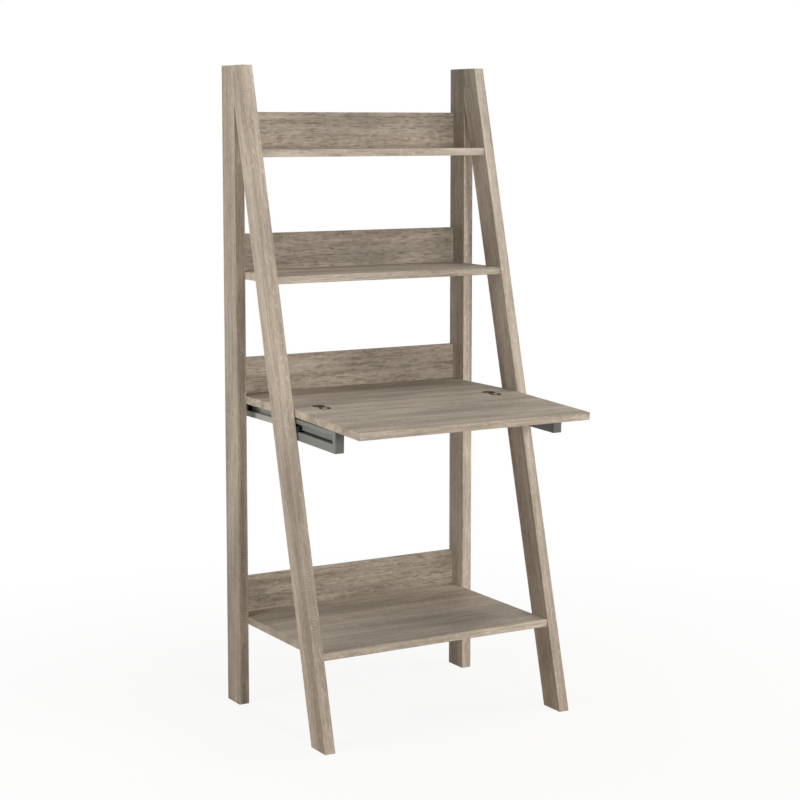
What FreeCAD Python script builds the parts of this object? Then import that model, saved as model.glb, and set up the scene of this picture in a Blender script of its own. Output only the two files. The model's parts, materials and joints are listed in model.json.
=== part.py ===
import FreeCAD, Part
import math
import os

from FreeCAD import Vector

# Ladder desk. Two side frames of an upright rear leg and a leaning front leg carry
# four shelves, each with a low board along its rear edge. In front of the desk shelf
# hangs a flap that opens onto two pull-out arms and closes against the shelf above.
# Millimetres, +Z up, front towards -Y, origin on the floor under the middle of the box.

# Side frames
HEIGHT = 1549.0
BAY_WIDTH = 616.0
LEG_THICKNESS = 26.0
LEG_WIDTH = 66.0
TOP_DEPTH = 112.0
FOOT_DEPTH = 510.0
EDGE_ROUND = 1.0

# Shelves, by their top faces, and the boards behind them. The top shelf is set by its
# drop below the tops of the legs, and the upper shelf by its rise above halfway from
# the desk shelf to the top shelf.
TOP_SHELF_DROP = 197.0
UPPER_SHELF_RISE = 4.25
DESK_SHELF_Z = 759.5
BOTTOM_SHELF_Z = 216.5
SHELF_THICKNESS = 18.0
SHELF_SETBACK = 3.0
BOARD_THICKNESS = 15.0
BOARD_HEIGHT = 88.0
BOARD_REBATE = 3.0

# Flap: it rests open a little below level, on the ends of the arms
FLAP_SIDE_GAP = 1.5
FLAP_SEAM = 2.0
FLAP_STOP_GAP = 1.0
FLAP_REST_GAP = 0.5
FLAP_DROOP_DEG = 2.4
PIVOT_RISE = 0.4

# Flap hinges: a round plate in each panel, with knuckles on one pin
HINGE_INSET = 73.0
CUP_RADIUS = 14.0
CUP_OFFSET = 17.0
CUP_FLANGE = 2.5
CUP_DEPTH = 11.0
BOSS_RADIUS = 11.5
KNUCKLE_SPAN = 16.0
KNUCKLE_RADIUS = 2.4
MID_KNUCKLE_SHARE = 0.44
PIN_RADIUS = 1.1
HINGE_SCREW_OFFSET = 7.5
HINGE_SCREW_LENGTH = 15.0

# Pull-out arms, shown pulled out. They sag from under the shelf to under the flap, within
# the play of their slots, and a groove runs along the foot of each slot.
ARM_REACH = 197.0
ARM_LENGTH = 280.0
ARM_THICKNESS = 23.3
ARM_HEIGHT = 49.5
ARM_SIDE_GAP = 2.4
ARM_TOP_GAP = 0.3
ARM_REAR_GAP = 0.8
ARM_ROUND = 1.5
ARM_UPPER_LIP = 10.5
SLOT_DEPTH = 8.0
SLOT_FRONT_WALL = 13.0
GROOVE_HEIGHT = 4.0
GROOVE_DEPTH = 7.0

# Guide blocks on the front legs, in the slots of the arms
GUIDE_LENGTH = 36.0
GUIDE_HEIGHT = 12.5
GUIDE_PROUD = 10.0
GUIDE_SCREW_LENGTH = 24.0
GUIDE_SCREW_SHARES = (0.22, 0.56)

# Runners under the desk shelf: lipped channels, open towards the arms
RUNNER_HEIGHT = 38.0
RUNNER_DEPTH = 14.0
RUNNER_WALL = 2.0
RUNNER_LOWER_LIP = 14.0
RUNNER_SLOT = 15.0
RUNNER_GAP = 0.8
RUNNER_REAR = 6.0
RUNNER_FRONT_SETBACK = 10.0
RUNNER_SCREW_LENGTH = 13.0
RUNNER_SCREW_SHARES = (0.14, 0.5, 0.8)
RUNNER_ACCESS_RADIUS = 4.5
STOP_LENGTH = 9.0

# Glide shoes on the inner faces of the arms
SHOE_LENGTH = 58.0
SHOE_REAR_SETBACK = 4.0
SHOE_HEAD_HEIGHT = 20.0
SHOE_SCREW_SHARES = (0.25, 0.75)
SHOE_SCREW_DEPTH_SHARE = 0.75

# Countersunk and pan-head screws
SCREW_RADIUS = 1.75
SCREW_HEAD_RADIUS = 3.5
SCREW_HEAD_HEIGHT = 2.0
DRIVE_LENGTH = 3.6
DRIVE_WIDTH = 0.9
DRIVE_DEPTH = 1.0

# Cam fittings and dowels between the boards and the legs
SHELF_CAM_RADIUS = 7.5
BOARD_CAM_RADIUS = 6.0
CAM_REACH = 24.0
CAM_DEPTH_SHARE = 0.72
CAM_BOLT_RADIUS = 2.8
CAM_NECK_RADIUS = 1.8
CAM_HEAD_LENGTH = 4.0
CAM_RECESS = 0.2
CAM_DRIVE_LENGTH = 7.0
CAM_DRIVE_WIDTH = 1.4
CAM_DRIVE_DEPTH = 1.6
THREAD_SHARE = 0.45
SHELF_CAM_SHARE = 0.32
SHELF_DOWEL_SHARE = 0.7
BOARD_CAM_SHARE = 0.36
BOARD_DOWEL_SHARE = 0.74
DOWEL_RADIUS = 4.0
DOWEL_LENGTH = 30.0
DOWEL_LEG_SHARE = 0.4

# Bolted joint of each front leg against its rear leg
LEG_BOLT_RADIUS = 3.0
LEG_BOLT_HEAD_RADIUS = 5.5
LEG_BOLT_HEAD_HEIGHT = 4.0
LEG_BOLT_RECESS = 5.0
LEG_NUT_RADIUS = 5.0
LEG_NUT_CAP = 2.5
LEG_NUT_OFFSET = 18.0
LEG_NUT_SHARE = 0.75
LEG_BOLT_SHARE = 0.5
LEG_DOWEL_SHARES = (0.2, 0.84)

# Clearances and helpers
FIT = 0.1
RUN_GAP = 0.3
OVERRUN = 20.0
PARALLEL_SHARE = 0.999

UP = Vector(0, 0, 1)
ACROSS = Vector(1, 0, 0)
FORWARD = Vector(0, -1, 0)
SIDES = {"left": -1, "right": 1}

# Places that follow from the sizes, as distances forward of the rear face
SLOPE = (FOOT_DEPTH - TOP_DEPTH) / HEIGHT
LEAN = math.atan(SLOPE)
LEAN_WAY = Vector(0, SLOPE, 1).normalize()
DROOP = math.radians(FLAP_DROOP_DEG)


def leg_front(z):
    """Front edge of the front legs at a height."""
    return FOOT_DEPTH - SLOPE * z


def leg_rear(z):
    """Rear edge of the front legs at a height."""
    return leg_front(z) - LEG_WIDTH / math.cos(LEAN)


def shelf_front(top):
    """Front edge of a shelf, by the height of its top face."""
    return leg_front(top) - SHELF_SETBACK


HALF_BAY = BAY_WIDTH / 2
TOP_SHELF_Z = HEIGHT - TOP_SHELF_DROP
UPPER_SHELF_Z = (DESK_SHELF_Z + TOP_SHELF_Z) / 2 + UPPER_SHELF_RISE
SHELF_TOPS = {
    "top": TOP_SHELF_Z,
    "upper": UPPER_SHELF_Z,
    "desk": DESK_SHELF_Z,
    "bottom": BOTTOM_SHELF_Z,
}
DESK_UNDERSIDE = DESK_SHELF_Z - SHELF_THICKNESS
SEAM_FOOT_Z = (FOOT_DEPTH - LEG_WIDTH / math.cos(LEAN) - LEG_WIDTH) / SLOPE

PIVOT_F = shelf_front(DESK_SHELF_Z) + FLAP_SEAM / 2
PIVOT_Z = DESK_SHELF_Z + PIVOT_RISE
STOP_RUN = PIVOT_F - shelf_front(UPPER_SHELF_Z)
FLAP_REACH = math.hypot(STOP_RUN, UPPER_SHELF_Z - PIVOT_Z) - FLAP_STOP_GAP
FLAP_TIP = (FLAP_REACH - EDGE_ROUND) * math.cos(DROOP) - (PIVOT_RISE + EDGE_ROUND) * math.sin(DROOP)
DEPTH = PIVOT_F + FLAP_TIP + EDGE_ROUND
REAR_Y = DEPTH / 2

ARM_FRONT = PIVOT_F + ARM_REACH
ARM_REAR = ARM_FRONT - ARM_LENGTH
FLAP_DROP = ARM_REACH * math.tan(DROOP) + (PIVOT_RISE + SHELF_THICKNESS) / math.cos(DROOP)
ARM_TOP = PIVOT_Z - FLAP_DROP - ARM_TOP_GAP
ARM_OUTER = HALF_BAY - ARM_SIDE_GAP
ARM_INNER = ARM_OUTER - ARM_THICKNESS
SAG = math.asin((DESK_UNDERSIDE - ARM_REAR_GAP - ARM_TOP) / ARM_LENGTH)
SLOT_TOP = ARM_TOP - ARM_UPPER_LIP
SLOT_FRONT = ARM_FRONT - SLOT_FRONT_WALL

GUIDE_TOP = SLOT_TOP + SLOT_FRONT_WALL * math.tan(SAG) - RUN_GAP
GUIDE_FOOT = GUIDE_TOP - GUIDE_HEIGHT
GUIDE_MID = (GUIDE_TOP + GUIDE_FOOT) / 2
GUIDE_FRONT = leg_front(GUIDE_MID) + GUIDE_PROUD
GUIDE_REAR = GUIDE_FRONT - GUIDE_LENGTH
GUIDE_INNER = ARM_OUTER - SLOT_DEPTH + RUN_GAP
SLOT_REAR = GUIDE_REAR - RUN_GAP
SLOT_FOOT = GUIDE_FOOT - RUN_GAP - (ARM_FRONT - SLOT_REAR) * math.tan(SAG)

RUNNER_OUTER = ARM_INNER - RUNNER_GAP
RUNNER_INNER = RUNNER_OUTER - RUNNER_DEPTH
RUNNER_FOOT = DESK_UNDERSIDE - RUNNER_HEIGHT
RUNNER_FRONT = shelf_front(DESK_SHELF_Z) - RUNNER_FRONT_SETBACK
RUNNER_SLOT_FOOT = RUNNER_FOOT + RUNNER_LOWER_LIP
RUNNER_MID = (RUNNER_OUTER + RUNNER_INNER) / 2

SHOE_REAR = ARM_REAR + SHOE_REAR_SETBACK
SHOE_OUTER = RUNNER_OUTER - RUNNER_WALL - RUN_GAP
SHOE_INNER = RUNNER_INNER + RUNNER_WALL + RUN_GAP


def at(x, forward, z):
    """Point at an x, a distance forward of the rear face and a height."""
    return Vector(x, REAR_Y - forward, z)


def block(x_pair, forward_pair, z_pair):
    """Box between two values of x, of distance forward and of height."""
    x0, x1 = sorted(x_pair)
    f0, f1 = sorted(forward_pair)
    z0, z1 = sorted(z_pair)
    return Part.makeBox(x1 - x0, f1 - f0, z1 - z0, at(x0, f1, z0))


def runs_along(way):
    """Test that keeps the straight edges parallel to a direction."""
    def test(edge):
        tangent = edge.tangentAt(edge.FirstParameter)
        return abs(tangent.dot(way)) > PARALLEL_SHARE
    return test


def rounded(shape, radius, wanted):
    """Shape with the edges that a test keeps rounded over."""
    return shape.makeFillet(radius, [edge for edge in shape.Edges if wanted(edge)])


def placed(shape, start, way):
    """Shape made along +Z from the origin, turned along a direction and moved to a point."""
    moved = shape.copy()
    moved.Placement = FreeCAD.Placement(start, FreeCAD.Rotation(UP, way))
    return moved


def framed(shape, start, x_way, z_way):
    """Shape made at the origin, with its x and z turned to two directions."""
    moved = shape.copy()
    turn = FreeCAD.Rotation(x_way, z_way.cross(x_way), z_way, "ZXY")
    moved.Placement = FreeCAD.Placement(start, turn)
    return moved


def drooped(shape):
    """Shape turned about the flap's pivot, from level to the flap's resting angle."""
    return shape.rotated(at(0, PIVOT_F, PIVOT_Z), ACROSS, FLAP_DROOP_DEG)


def drive(length, width, depth):
    """Cross-shaped driver recess, sunk along +Z from the origin."""
    bars = []
    for x_size, y_size in ((length, width), (width, length)):
        corner = Vector(-x_size / 2, -y_size / 2, 0)
        bars.append(Part.makeBox(x_size, y_size, depth, corner))
    return bars[0].fuse(bars[1])


def countersunk(start, way, length):
    """Countersunk screw with its head flush at a point, and the hole that it needs."""
    head = Part.makeCone(SCREW_HEAD_RADIUS, SCREW_RADIUS, SCREW_HEAD_HEIGHT)
    screw = head.fuse(Part.makeCylinder(SCREW_RADIUS, length))
    screw = screw.cut(drive(DRIVE_LENGTH, DRIVE_WIDTH, DRIVE_DEPTH))
    sink = Part.makeCone(SCREW_HEAD_RADIUS + FIT, SCREW_RADIUS + FIT, SCREW_HEAD_HEIGHT)
    hole = sink.fuse(Part.makeCylinder(SCREW_RADIUS + FIT, length + FIT))
    return placed(screw, start, way), placed(hole, start, way)


def pan_head(start, way, length):
    """Pan-head screw with its head standing on a face, and the hole for its shank."""
    head = Part.makeCylinder(SCREW_HEAD_RADIUS, SCREW_HEAD_HEIGHT, Vector(0, 0, -SCREW_HEAD_HEIGHT))
    recess = drive(DRIVE_LENGTH, DRIVE_WIDTH, DRIVE_DEPTH)
    recess.translate(Vector(0, 0, -SCREW_HEAD_HEIGHT))
    screw = head.fuse(Part.makeCylinder(SCREW_RADIUS, length)).cut(recess)
    hole = Part.makeCylinder(SCREW_RADIUS + FIT, length + FIT)
    return placed(screw, start, way), placed(hole, start, way)


def cam_fitting(radius, panel_thickness):
    """Cam disc, cam bolt and their room: panel end at x = 0, cam face at z = 0."""
    depth = panel_thickness * CAM_DEPTH_SHARE
    thread = LEG_THICKNESS * THREAD_SHARE
    height = panel_thickness / 2
    head_end = -CAM_REACH - CAM_HEAD_LENGTH / 2
    neck_end = -CAM_REACH + CAM_HEAD_LENGTH / 2
    body_end = radius - CAM_REACH + FIT

    def rod(rod_radius, start, end):
        return Part.makeCylinder(rod_radius, end - start, Vector(start, 0, height), ACROSS)

    centre = Vector(-CAM_REACH, 0, 0)
    disc = Part.makeCylinder(radius, depth - CAM_RECESS - FIT, centre + UP * CAM_RECESS)
    recess = drive(CAM_DRIVE_LENGTH, CAM_DRIVE_WIDTH, CAM_DRIVE_DEPTH)
    recess.translate(centre)
    throat = rod(CAM_BOLT_RADIUS + FIT, head_end - FIT, radius - CAM_REACH + OVERRUN)
    disc = disc.cut([throat, recess])

    bolt = rod(CAM_BOLT_RADIUS, head_end, neck_end)
    bolt = bolt.fuse([
        rod(CAM_NECK_RADIUS, neck_end, body_end),
        rod(CAM_BOLT_RADIUS, body_end, thread),
    ])

    pocket = Part.makeCylinder(radius + FIT, depth + OVERRUN, centre - UP * OVERRUN)
    room = pocket.fuse(rod(CAM_BOLT_RADIUS + FIT, -CAM_REACH, thread + FIT))
    return disc, bolt, room


def dowel(start, way, sunk):
    """Dowel through a joint face at a point, sunk to a depth along a direction, and its hole."""
    tail = Vector(0, 0, sunk - DOWEL_LENGTH)
    pin = Part.makeCylinder(DOWEL_RADIUS, DOWEL_LENGTH, tail)
    hole = Part.makeCylinder(DOWEL_RADIUS + FIT, DOWEL_LENGTH + 2 * FIT, tail - UP * FIT)
    return placed(pin, start, way), placed(hole, start, way)


def rear_leg(side):
    """Upright rear leg of one side."""
    walls = (side * HALF_BAY, side * (HALF_BAY + LEG_THICKNESS))
    post = block(walls, (0, LEG_WIDTH), (0, HEIGHT))
    return rounded(post, EDGE_ROUND, runs_along(UP))


def front_leg(side):
    """Leaning front leg of one side, cut level at its ends and upright against the rear leg."""
    inner = side * HALF_BAY
    low = -OVERRUN
    high = HEIGHT + OVERRUN
    corners = [
        at(inner, leg_rear(low), low),
        at(inner, leg_front(low), low),
        at(inner, leg_front(high), high),
        at(inner, leg_rear(high), high),
    ]
    outline = Part.Face(Part.makePolygon(corners + corners[:1]))
    board = outline.extrude(ACROSS * (side * LEG_THICKNESS))
    board = rounded(board, EDGE_ROUND, runs_along(LEAN_WAY))
    walls = (inner, inner + side * LEG_THICKNESS)
    return board.common(block(walls, (LEG_WIDTH, FOOT_DEPTH + OVERRUN), (0, HEIGHT)))


def shelf(top):
    """Shelf between the legs, by the height of its top face, with a rebate for its back board."""
    slab = block((-HALF_BAY, HALF_BAY), (0, shelf_front(top)), (top - SHELF_THICKNESS, top))
    slab = rounded(slab, EDGE_ROUND, runs_along(ACROSS))
    across = (-HALF_BAY - OVERRUN, HALF_BAY + OVERRUN)
    rebate = block(across, (-OVERRUN, BOARD_THICKNESS), (top - BOARD_REBATE, top + OVERRUN))
    return slab.cut(rebate)


def back_board(top):
    """Low board standing in the rebate along the rear edge of a shelf."""
    crest = top + BOARD_HEIGHT
    slab = block((-HALF_BAY, HALF_BAY), (0, BOARD_THICKNESS), (top - BOARD_REBATE, crest))
    lengthwise = runs_along(ACROSS)

    def at_crest(edge):
        return lengthwise(edge) and edge.CenterOfMass.z > crest - EDGE_ROUND
    return rounded(slab, EDGE_ROUND, at_crest)


def level_flap():
    """Flap panel, drawn level with the desk shelf."""
    half = HALF_BAY - FLAP_SIDE_GAP
    run = (PIVOT_F + FLAP_SEAM / 2, PIVOT_F + FLAP_REACH)
    slab = block((-half, half), run, (DESK_UNDERSIDE, DESK_SHELF_Z))
    return slab.makeFillet(EDGE_ROUND, slab.Edges)


def barrel(x, span, radius):
    """Round bar on the hinge axis, between two distances from a hinge's middle."""
    start, end = span
    return Part.makeCylinder(radius, end - start, at(x + start, PIVOT_F, PIVOT_Z), ACROSS)


def hinge_plate(x, toward, own_spans, other_spans):
    """One half of a hinge, level: round plate, bridge and knuckles.

    toward is 1 into the flap and -1 into the shelf. Also gives the room the half
    needs in its panel, and its two screws.
    """
    centre = PIVOT_F + toward * CUP_OFFSET
    half = KNUCKLE_SPAN / 2
    flange_foot = DESK_SHELF_Z - CUP_FLANGE
    flange = Part.makeCylinder(CUP_RADIUS, CUP_FLANGE, at(x, centre, flange_foot))
    boss = Part.makeCylinder(BOSS_RADIUS, CUP_DEPTH, at(x, centre, DESK_SHELF_Z - CUP_DEPTH))
    bridge_foot = PIVOT_Z - KNUCKLE_RADIUS
    bridge = block((x - half, x + half), (PIVOT_F, centre), (bridge_foot, DESK_SHELF_Z))
    plate = flange.fuse([boss, bridge])
    plate = plate.cut([barrel(x, span, KNUCKLE_RADIUS + RUN_GAP) for span in other_spans])
    plate = plate.fuse([barrel(x, span, KNUCKLE_RADIUS) for span in own_spans])
    plate = plate.cut(barrel(x, (-half, half), PIN_RADIUS + FIT))

    sky = DESK_SHELF_Z + OVERRUN
    sides = (x - half - FIT, x + half + FIT)
    bores = [
        Part.makeCylinder(CUP_RADIUS + FIT, sky - flange_foot, at(x, centre, flange_foot)),
        Part.makeCylinder(BOSS_RADIUS + FIT, CUP_DEPTH, at(x, centre, DESK_SHELF_Z - CUP_DEPTH)),
        block(sides, (PIVOT_F, centre), (bridge_foot, sky)),
        barrel(x, (-half - FIT, half + FIT), KNUCKLE_RADIUS + RUN_GAP),
    ]

    screws = []
    for offset in (-HINGE_SCREW_OFFSET, HINGE_SCREW_OFFSET):
        screw, hole = countersunk(at(x + offset, centre, DESK_SHELF_Z), -UP, HINGE_SCREW_LENGTH)
        screws.append(screw)
        bores.append(hole)
    return plate.cut(bores[-len(screws):]), screws, bores


def support_arm(side):
    """Pull-out arm with a stopped slot in its outer face, drawn level and turned to its sag."""
    tall = (ARM_TOP - ARM_HEIGHT, ARM_TOP)
    body = block((side * ARM_INNER, side * ARM_OUTER), (ARM_REAR, ARM_FRONT), tall)
    body = body.makeFillet(ARM_ROUND, body.Edges)
    length = (SLOT_REAR, SLOT_FRONT)
    floor = ARM_OUTER - SLOT_DEPTH
    mouth = side * (ARM_OUTER + OVERRUN)
    slot = block((side * floor, mouth), length, (SLOT_FOOT, SLOT_TOP))
    groove_floor = side * (floor - GROOVE_DEPTH)
    groove = block((groove_floor, mouth), length, (SLOT_FOOT, SLOT_FOOT + GROOVE_HEIGHT))
    level = body.cut([slot, groove])
    return level.rotated(at(0, ARM_FRONT, ARM_TOP), ACROSS, math.degrees(SAG))


def guide_block(side):
    """Block on the inner face of a front leg that the slot of an arm runs on."""
    depth = (side * GUIDE_INNER, side * HALF_BAY)
    return block(depth, (GUIDE_REAR, GUIDE_FRONT), (GUIDE_FOOT, GUIDE_TOP))


def runner(side):
    """Lipped channel under the desk shelf, open towards the arm."""
    length = (RUNNER_REAR, RUNNER_FRONT)
    through = (RUNNER_REAR - OVERRUN, RUNNER_FRONT + OVERRUN)
    body = block((side * RUNNER_INNER, side * RUNNER_OUTER), length, (RUNNER_FOOT, DESK_UNDERSIDE))
    hollow = (side * (RUNNER_INNER + RUNNER_WALL), side * (RUNNER_OUTER - RUNNER_WALL))
    tall = (RUNNER_FOOT + RUNNER_WALL, DESK_UNDERSIDE - RUNNER_WALL)
    mouth = (side * RUNNER_MID, side * (RUNNER_OUTER + OVERRUN))
    slot = (RUNNER_SLOT_FOOT, RUNNER_SLOT_FOOT + RUNNER_SLOT)
    return body.cut([block(hollow, through, tall), block(mouth, through, slot)])


def end_stop(side):
    """Plug in the rear end of a runner."""
    width = (side * (RUNNER_INNER + RUNNER_WALL + FIT), side * (RUNNER_OUTER - RUNNER_WALL - FIT))
    tall = (RUNNER_FOOT + RUNNER_WALL, DESK_UNDERSIDE - RUNNER_WALL - FIT)
    return block(width, (RUNNER_REAR, RUNNER_REAR + STOP_LENGTH), tall)


def glide_shoe(side):
    """Shoe on the inner face of an arm, its head held behind the lips of the runner."""
    length = (SHOE_REAR, SHOE_REAR + SHOE_LENGTH)
    neck_foot = RUNNER_SLOT_FOOT + RUN_GAP
    neck_top = RUNNER_SLOT_FOOT + RUNNER_SLOT - RUN_GAP
    neck = block((side * SHOE_OUTER, side * ARM_INNER), length, (neck_foot, neck_top))
    middle = (neck_foot + neck_top) / 2
    tall = (middle - SHOE_HEAD_HEIGHT / 2, middle + SHOE_HEAD_HEIGHT / 2)
    head = block((side * SHOE_INNER, side * SHOE_OUTER), length, tall)
    return neck.fuse(head).removeSplitter()


nodes = {}
groups = {}
holes = {}


def drill(names, hole):
    """Keep a hole to be cut from the named pieces."""
    for name in names:
        holes.setdefault(name, []).append(hole)


def add(group, solid):
    """Put a solid in a node of like fasteners."""
    groups.setdefault(group, []).append(solid)


def share_along(start, end, share):
    """Place at a share of the way from one value to another."""
    return start + (end - start) * share


def join_shelf(name, top):
    """Cam fittings and dowels of one shelf, two of each into the legs of each side."""
    node = name + "_shelf"
    middle = top - SHELF_THICKNESS / 2
    underside = top - SHELF_THICKNESS
    disc, bolt, room = cam_fitting(SHELF_CAM_RADIUS, SHELF_THICKNESS)
    legs = {"rear": (0, LEG_WIDTH), "front": (max(leg_rear(middle), LEG_WIDTH), shelf_front(top))}
    for side_name, side in SIDES.items():
        outward = ACROSS * side
        for leg_name, (start, end) in legs.items():
            pieces = [node, leg_name + "_leg_" + side_name]
            corner = at(side * HALF_BAY, share_along(start, end, SHELF_CAM_SHARE), underside)
            add("shelf_cam_discs", framed(disc, corner, outward, UP))
            add("shelf_cam_bolts", framed(bolt, corner, outward, UP))
            drill(pieces, framed(room, corner, outward, UP))
            point = at(side * HALF_BAY, share_along(start, end, SHELF_DOWEL_SHARE), middle)
            pin, hole = dowel(point, outward, DOWEL_LENGTH * DOWEL_LEG_SHARE)
            add("shelf_dowels", pin)
            drill(pieces, hole)


def join_board(name, top):
    """Cam fitting and dowel at each end of one back board."""
    node = name + "_back_board"
    disc, bolt, room = cam_fitting(BOARD_CAM_RADIUS, BOARD_THICKNESS)
    for side_name, side in SIDES.items():
        outward = ACROSS * side
        pieces = [node, "rear_leg_" + side_name]
        corner = at(side * HALF_BAY, 0, top + BOARD_HEIGHT * BOARD_CAM_SHARE)
        add("board_cam_discs", framed(disc, corner, outward, FORWARD))
        add("board_cam_bolts", framed(bolt, corner, outward, FORWARD))
        drill(pieces, framed(room, corner, outward, FORWARD))
        point = at(side * HALF_BAY, BOARD_THICKNESS / 2, top + BOARD_HEIGHT * BOARD_DOWEL_SHARE)
        pin, hole = dowel(point, outward, DOWEL_LENGTH * DOWEL_LEG_SHARE)
        add("board_dowels", pin)
        drill(pieces, hole)


def join_legs(side_name, side):
    """Dowels, bolt, barrel nut and its cap between a front leg and its rear leg."""
    pieces = ["rear_leg_" + side_name, "front_leg_" + side_name]
    x = side * (HALF_BAY + LEG_THICKNESS / 2)
    for share in LEG_DOWEL_SHARES:
        point = at(x, LEG_WIDTH, share_along(SEAM_FOOT_Z, HEIGHT, share))
        pin, hole = dowel(point, FORWARD, DOWEL_LENGTH / 2)
        add("leg_dowels", pin)
        drill(pieces, hole)

    z = share_along(SEAM_FOOT_Z, HEIGHT, LEG_BOLT_SHARE)
    nut_f = LEG_WIDTH + LEG_NUT_OFFSET
    tip = nut_f + LEG_NUT_RADIUS
    seat = at(x, LEG_BOLT_RECESS, z)
    head = Part.makeCylinder(LEG_BOLT_HEAD_RADIUS, LEG_BOLT_HEAD_HEIGHT, seat, -FORWARD)
    shank = Part.makeCylinder(LEG_BOLT_RADIUS, tip - LEG_BOLT_RECESS, seat, FORWARD)
    socket = drive(CAM_DRIVE_LENGTH, CAM_DRIVE_WIDTH, CAM_DRIVE_DEPTH)
    socket = placed(socket, seat - FORWARD * LEG_BOLT_HEAD_HEIGHT, FORWARD)
    add("leg_bolts", head.fuse(shank).cut(socket))
    sink = Part.makeCylinder(LEG_BOLT_HEAD_RADIUS + FIT, LEG_BOLT_RECESS, at(x, 0, z), FORWARD)
    bore = Part.makeCylinder(LEG_BOLT_RADIUS + FIT, tip + FIT, at(x, 0, z), FORWARD)
    drill(pieces, sink)
    drill(pieces, bore)

    nut_depth = LEG_THICKNESS * LEG_NUT_SHARE
    outward = ACROSS * side
    mouth = at(side * HALF_BAY, nut_f, z)
    nut_end = mouth + outward * LEG_NUT_CAP
    nut = Part.makeCylinder(LEG_NUT_RADIUS, nut_depth - LEG_NUT_CAP, nut_end, outward)
    add("leg_barrel_nuts", nut.cut(bore))
    add("leg_nut_caps", Part.makeCylinder(LEG_NUT_RADIUS, LEG_NUT_CAP, mouth, outward))
    drill(pieces, Part.makeCylinder(LEG_NUT_RADIUS + FIT, nut_depth + FIT, mouth, outward))


def hang_flap():
    """Flap panel and its two hinges."""
    half = KNUCKLE_SPAN / 2
    middle = half * MID_KNUCKLE_SHARE
    wide = middle + RUN_GAP / 2
    slim = middle - RUN_GAP / 2
    outer_knuckles = [(-half, -wide), (wide, half)]
    flap_gaps = [(-half, -slim), (slim, half)]
    flap_bores = []
    for side_name, side in SIDES.items():
        x = side * (HALF_BAY - HINGE_INSET)
        plate, screws, bores = hinge_plate(x, -1, outer_knuckles, [(-wide, wide)])
        nodes["hinge_shelf_plate_" + side_name] = plate
        for screw in screws:
            add("hinge_shelf_screws", screw)
        for bore in bores:
            drill(["desk_shelf"], bore)

        plate, screws, bores = hinge_plate(x, 1, [(-slim, slim)], flap_gaps)
        nodes["hinge_flap_plate_" + side_name] = drooped(plate)
        for screw in screws:
            add("hinge_flap_screws", drooped(screw))
        flap_bores += bores
        nodes["hinge_pin_" + side_name] = barrel(x, (-half, half), PIN_RADIUS)
    nodes["desk_flap"] = drooped(level_flap().cut(flap_bores))


def fit_arm(side_name, side):
    """Arm of one side with its guide block, runner, end stop and glide shoe."""
    outward = ACROSS * side
    arm = "support_arm_" + side_name
    shoe = "glide_shoe_" + side_name
    guide = "guide_block_" + side_name
    track = "arm_runner_" + side_name
    nodes[arm] = support_arm(side)
    nodes[shoe] = glide_shoe(side)
    nodes[guide] = guide_block(side)
    nodes[track] = runner(side)
    nodes["runner_end_stop_" + side_name] = end_stop(side)

    shoe_mid = RUNNER_SLOT_FOOT + RUNNER_SLOT / 2
    shoe_depth = (ARM_INNER - SHOE_INNER) * SHOE_SCREW_DEPTH_SHARE
    for share in SHOE_SCREW_SHARES:
        head = at(side * ARM_OUTER, SHOE_REAR + SHOE_LENGTH * share, shoe_mid)
        screw, hole = countersunk(head, -outward, ARM_THICKNESS + shoe_depth)
        add("shoe_screws_" + side_name, screw)
        drill([arm, shoe], hole)

    for share in GUIDE_SCREW_SHARES:
        head = at(side * GUIDE_INNER, GUIDE_REAR + GUIDE_LENGTH * share, GUIDE_MID)
        screw, hole = countersunk(head, outward, GUIDE_SCREW_LENGTH)
        add("guide_block_screws", screw)
        drill([guide, "front_leg_" + side_name], hole)

    for share in RUNNER_SCREW_SHARES:
        forward = share_along(RUNNER_REAR, RUNNER_FRONT, share)
        seat = at(side * RUNNER_MID, forward, DESK_UNDERSIDE - RUNNER_WALL)
        screw, hole = pan_head(seat, UP, RUNNER_SCREW_LENGTH)
        add("runner_screws", screw)
        drill([track, "desk_shelf"], hole)
        below = at(side * RUNNER_MID, forward, RUNNER_FOOT)
        drill([track], Part.makeCylinder(RUNNER_ACCESS_RADIUS, RUNNER_WALL, below))


def main():
    """Build every piece, cut its holes and write one file per node."""
    for side_name, side in SIDES.items():
        nodes["rear_leg_" + side_name] = rear_leg(side)
        nodes["front_leg_" + side_name] = front_leg(side)
        join_legs(side_name, side)
        fit_arm(side_name, side)
    for name, top in SHELF_TOPS.items():
        nodes[name + "_shelf"] = shelf(top)
        nodes[name + "_back_board"] = back_board(top)
        join_shelf(name, top)
        join_board(name, top)
    hang_flap()

    for name, tools in holes.items():
        nodes[name] = nodes[name].cut(tools)
    for name, solids in groups.items():
        nodes[name] = Part.makeCompound(solids)

    os.makedirs("parts", exist_ok=True)
    for name, shape in sorted(nodes.items()):
        shape.exportStep("parts/" + name + ".step")

    closed = math.asin((STOP_RUN + PIVOT_RISE - FLAP_REST_GAP) / FLAP_REACH)
    swing = math.degrees(closed + DROOP + math.pi / 2)
    travel = SLOT_FRONT - GUIDE_FRONT - RUN_GAP - (ARM_TOP - SLOT_FOOT) * math.sin(SAG)
    print("nodes %d, depth %.2f, pivot y %.3f z %.3f" % (len(nodes), DEPTH, REAR_Y - PIVOT_F, PIVOT_Z))
    print("flap closes at %.2f degrees, arms slide %.2f" % (swing, travel))
    print("arms sag %.3f degrees, slots %.2f high" % (math.degrees(SAG), SLOT_TOP - SLOT_FOOT))


main()
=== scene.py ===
"""Looks of a ladder desk: its finishes, fittings, floor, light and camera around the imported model."""

import json
import logging
import math
from collections.abc import Callable, Iterable, Sequence
from dataclasses import dataclass, field
from enum import Enum

import bmesh
import bpy
from mathutils import Matrix, Vector


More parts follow.
